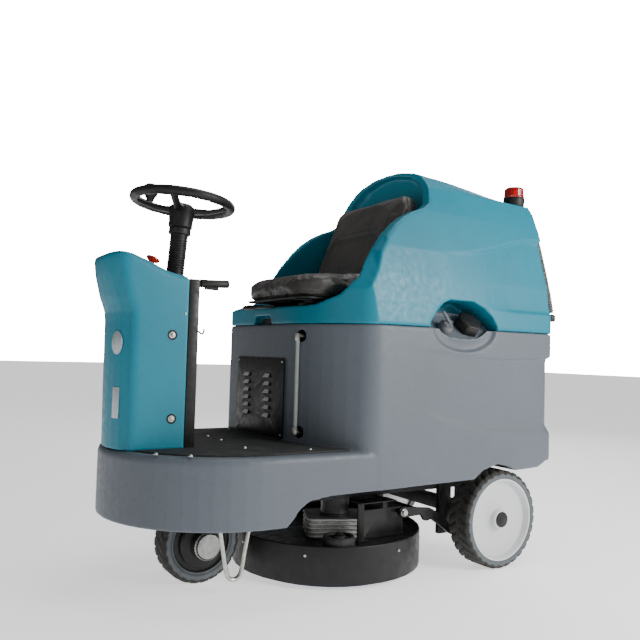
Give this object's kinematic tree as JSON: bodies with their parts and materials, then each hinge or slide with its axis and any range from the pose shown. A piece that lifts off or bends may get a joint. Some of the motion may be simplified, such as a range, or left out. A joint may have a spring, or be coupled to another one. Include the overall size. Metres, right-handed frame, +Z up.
{
  "type": "ride-on floor scrubber dryer",
  "caption": "Ride-on floor cleaning machine with a tilting upper tank and seat, a steering wheel on a cowled column, a low brush deck and a steered front drive wheel.",
  "frame": {"origin": "centre of the bounding box's footprint, on the floor", "axes": "+X forward, the way the driver faces; +Y to the driver's left; +Z up"},
  "size_m": [1.571, 0.708, 1.352],
  "materials": {
    "teal_plastic": "semi-matte moulded polyethylene, teal",
    "grey_plastic": "semi-matte moulded polyethylene, blue-grey",
    "black_plastic": "moulded, matt black",
    "black_steel": "powder coated, satin black",
    "frame_steel": "powder coated, matt black",
    "zinc": "zinc plated",
    "cast_aluminium": "rough cast",
    "label_foil": "blank printed foil",
    "vinyl": "grained dark brown-black vinyl over foam",
    "tyre_rubber": "moulded grey-black tread",
    "rubber": "matt black rubber",
    "rim_plastic": "light grey moulded rim",
    "grey_valve": "moulded, dark grey",
    "red_plastic": "gloss red",
    "yellow_plastic": "yellow ring",
    "red_lens": "clear red lens",
    "clear_tube": "clear plastic tube",
    "blue_bristle": "nylon bristles on a block",
    "battery_case": "ribbed battery case",
    "motor_zinc": "dark painted motor case"
  },
  "bodies": {
    "machine": {"chassis_frame": "frame_steel", "tie_down_loop_left": "zinc", "tie_down_loop_right": "zinc", "solution_tank": "grey_plastic", "footplate_mat": "rubber", "sight_tube": "clear_tube", "sight_elbow_lower": "zinc", "sight_elbow_upper": "zinc", "vent_panel": "black_steel", "battery_front_left": "battery_case", "battery_front_right": "battery_case", "battery_rear_left": "battery_case", "battery_rear_right": "battery_case", "fill_valve_body": "grey_valve", "steering_cowl": "teal_plastic", "column_back_plate": "black_steel", "estop_collar": "yellow_plastic", "display_unit": "black_plastic", "badge_plate": "label_foil", "data_plate": "label_foil", "steering_column": "black_plastic", "pedal_bracket": "black_steel", "rear_axle": "frame_steel"},
    "upper_tank": {"recovery_tank": "teal_plastic", "vacuum_motor": "black_plastic", "drain_hose": "rubber", "beacon_base": "black_plastic", "beacon_lens": "red_lens", "seat_rails": "black_steel"},
    "lid": {"recovery_lid": "teal_plastic"},
    "hose_plug": {"drain_hose_plug": "black_plastic"},
    "seat": {"seat_pan": "black_steel", "seat_cushion": "vinyl", "seat_backrest": "vinyl"},
    "slide_bar": {"seat_slide_bar": "black_steel"},
    "fill_cap": {"filler_cap": "black_plastic"},
    "valve_handle": {"fill_valve_handle": "grey_valve"},
    "stop_button": {"estop_button": "red_plastic"},
    "key": {"key_switch": "zinc"},
    "knob": {"speed_knob": "black_plastic"},
    "lever": {"lift_lever": "black_plastic"},
    "hand_wheel": {"steering_wheel": "black_plastic"},
    "spinner": {"spinner_knob": "black_plastic"},
    "fork": {"steer_fork": "black_steel"},
    "drive_wheel": {"drive_tyre": "tyre_rubber", "drive_hub": "black_steel"},
    "pedal": {"accelerator_pedal": "rubber"},
    "rear_wheel_left": {"rear_tyre_left": "tyre_rubber", "rear_rim_left": "rim_plastic", "rear_hub_cap_left": "black_plastic"},
    "rear_wheel_right": {"rear_tyre_right": "tyre_rubber", "rear_rim_right": "rim_plastic", "rear_hub_cap_right": "black_plastic"},
    "arms": {"lift_arms": "black_steel"},
    "deck": {"deck_bracket": "black_steel", "brush_deck": "black_steel", "brush_gearbox": "cast_aluminium", "brush_motor": "motor_zinc"},
    "brush": {"disc_brush": "blue_bristle"},
    "roller": {"bumper_roller": "rubber"}
  },
  "joints": [
    {"name": "steering_wheel_turn", "type": "hinge", "parent": "machine", "child": "hand_wheel", "pos_m": [0.5345, 0, 1.143], "axis": [-0.0785, 0, 0.9969], "range_deg": [-200, 200]},
    {"name": "spinner_turn", "type": "hinge", "parent": "hand_wheel", "child": "spinner", "pos_m": [0.6183, -0.0535, 1.16], "axis": [-0.0785, 0, 0.9969], "continuous": true},
    {"name": "fork_steer", "type": "hinge", "parent": "machine", "child": "fork", "pos_m": [0.4495, 0, 0.25], "axis": [0, 0, 1], "range_deg": [-60, 60]},
    {"name": "drive_wheel_spin", "type": "hinge", "parent": "fork", "child": "drive_wheel", "pos_m": [0.4495, 0, 0.123], "axis": [0, 1, 0], "continuous": true},
    {"name": "rear_wheel_left_spin", "type": "hinge", "parent": "machine", "child": "rear_wheel_left", "pos_m": [-0.4905, 0.305, 0.1616], "axis": [0, 1, 0], "continuous": true},
    {"name": "rear_wheel_right_spin", "type": "hinge", "parent": "machine", "child": "rear_wheel_right", "pos_m": [-0.4905, -0.305, 0.1616], "axis": [0, 1, 0], "continuous": true},
    {"name": "accelerator_press", "type": "hinge", "parent": "machine", "child": "pedal", "pos_m": [0.516, -0.15, 0.439], "axis": [0, 1, 0], "range_deg": [0, 15], "stiffness_Nm_per_rad": 1.5, "springref_deg": -11.46},
    {"name": "upper_tank_tilt", "type": "hinge", "parent": "machine", "child": "upper_tank", "pos_m": [-0.7435, 0, 0.79], "axis": [0, -1, 0], "range_deg": [0, 60]},
    {"name": "lid_open", "type": "hinge", "parent": "upper_tank", "child": "lid", "pos_m": [-0.6205, 0, 1.3035], "axis": [0, -1, 0], "range_deg": [0, 95]},
    {"name": "hose_plug_pull", "type": "slide", "parent": "upper_tank", "child": "hose_plug", "axis": [0, 0, -1], "range_m": [0, 0.03]},
    {"name": "seat_slide", "type": "slide", "parent": "upper_tank", "child": "seat", "axis": [1, 0, 0], "range_m": [0, 0.06]},
    {"name": "slide_bar_lift", "type": "hinge", "parent": "seat", "child": "slide_bar", "pos_m": [0.12, 0, 0.856], "axis": [0, -1, 0], "range_deg": [0, 3.5], "stiffness_Nm_per_rad": 4, "springref_deg": -8.59},
    {"name": "filler_cap_lift", "type": "slide", "parent": "machine", "child": "fill_cap", "axis": [0, 0.7071, 0.7071], "range_m": [0, 0.03]},
    {"name": "fill_valve_turn", "type": "hinge", "parent": "machine", "child": "valve_handle", "pos_m": [-0.2535, 0.3125, 0.7945], "axis": [0, 0.7071, 0.7071], "range_deg": [0, 90]},
    {"name": "stop_press", "type": "slide", "parent": "machine", "child": "stop_button", "axis": [0.3813, 0, -0.9245], "range_m": [0, 0.005], "stiffness_N_per_m": 1500},
    {"name": "key_turn", "type": "hinge", "parent": "machine", "child": "key", "pos_m": [0.5175, -0.062, 0.846], "axis": [1, 0, 0], "range_deg": [0, 60]},
    {"name": "speed_knob_turn", "type": "hinge", "parent": "machine", "child": "knob", "pos_m": [0.5175, 0.062, 0.846], "axis": [1, 0, 0], "range_deg": [0, 270]},
    {"name": "lift_lever_move", "type": "hinge", "parent": "machine", "child": "lever", "pos_m": [0.5145, 0.092, 0.893], "axis": [0, 1, 0], "range_deg": [0, 20]},
    {"name": "arms_lift", "type": "hinge", "parent": "machine", "child": "arms", "pos_m": [-0.3725, 0, 0.118], "axis": [0, -1, 0], "range_deg": [0, 11]},
    {"name": "deck_level", "type": "hinge", "parent": "arms", "child": "deck", "pos_m": [-0.1575, 0, 0.195], "axis": [0, 1, 0], "range_deg": [0, 11]},
    {"name": "brush_spin", "type": "hinge", "parent": "deck", "child": "brush", "pos_m": [-0.0175, 0.002, 0.06], "axis": [0, 0, 1], "continuous": true},
    {"name": "roller_spin", "type": "hinge", "parent": "deck", "child": "roller", "pos_m": [0.0875, 0.236, 0.13], "axis": [0, 0, 1], "continuous": true}
  ],
  "couplings": [
    {"joint": "fork_steer", "follows": "steering_wheel_turn", "ratio": 0.3},
    {"joint": "deck_level", "follows": "arms_lift", "ratio": 1}
  ]
}
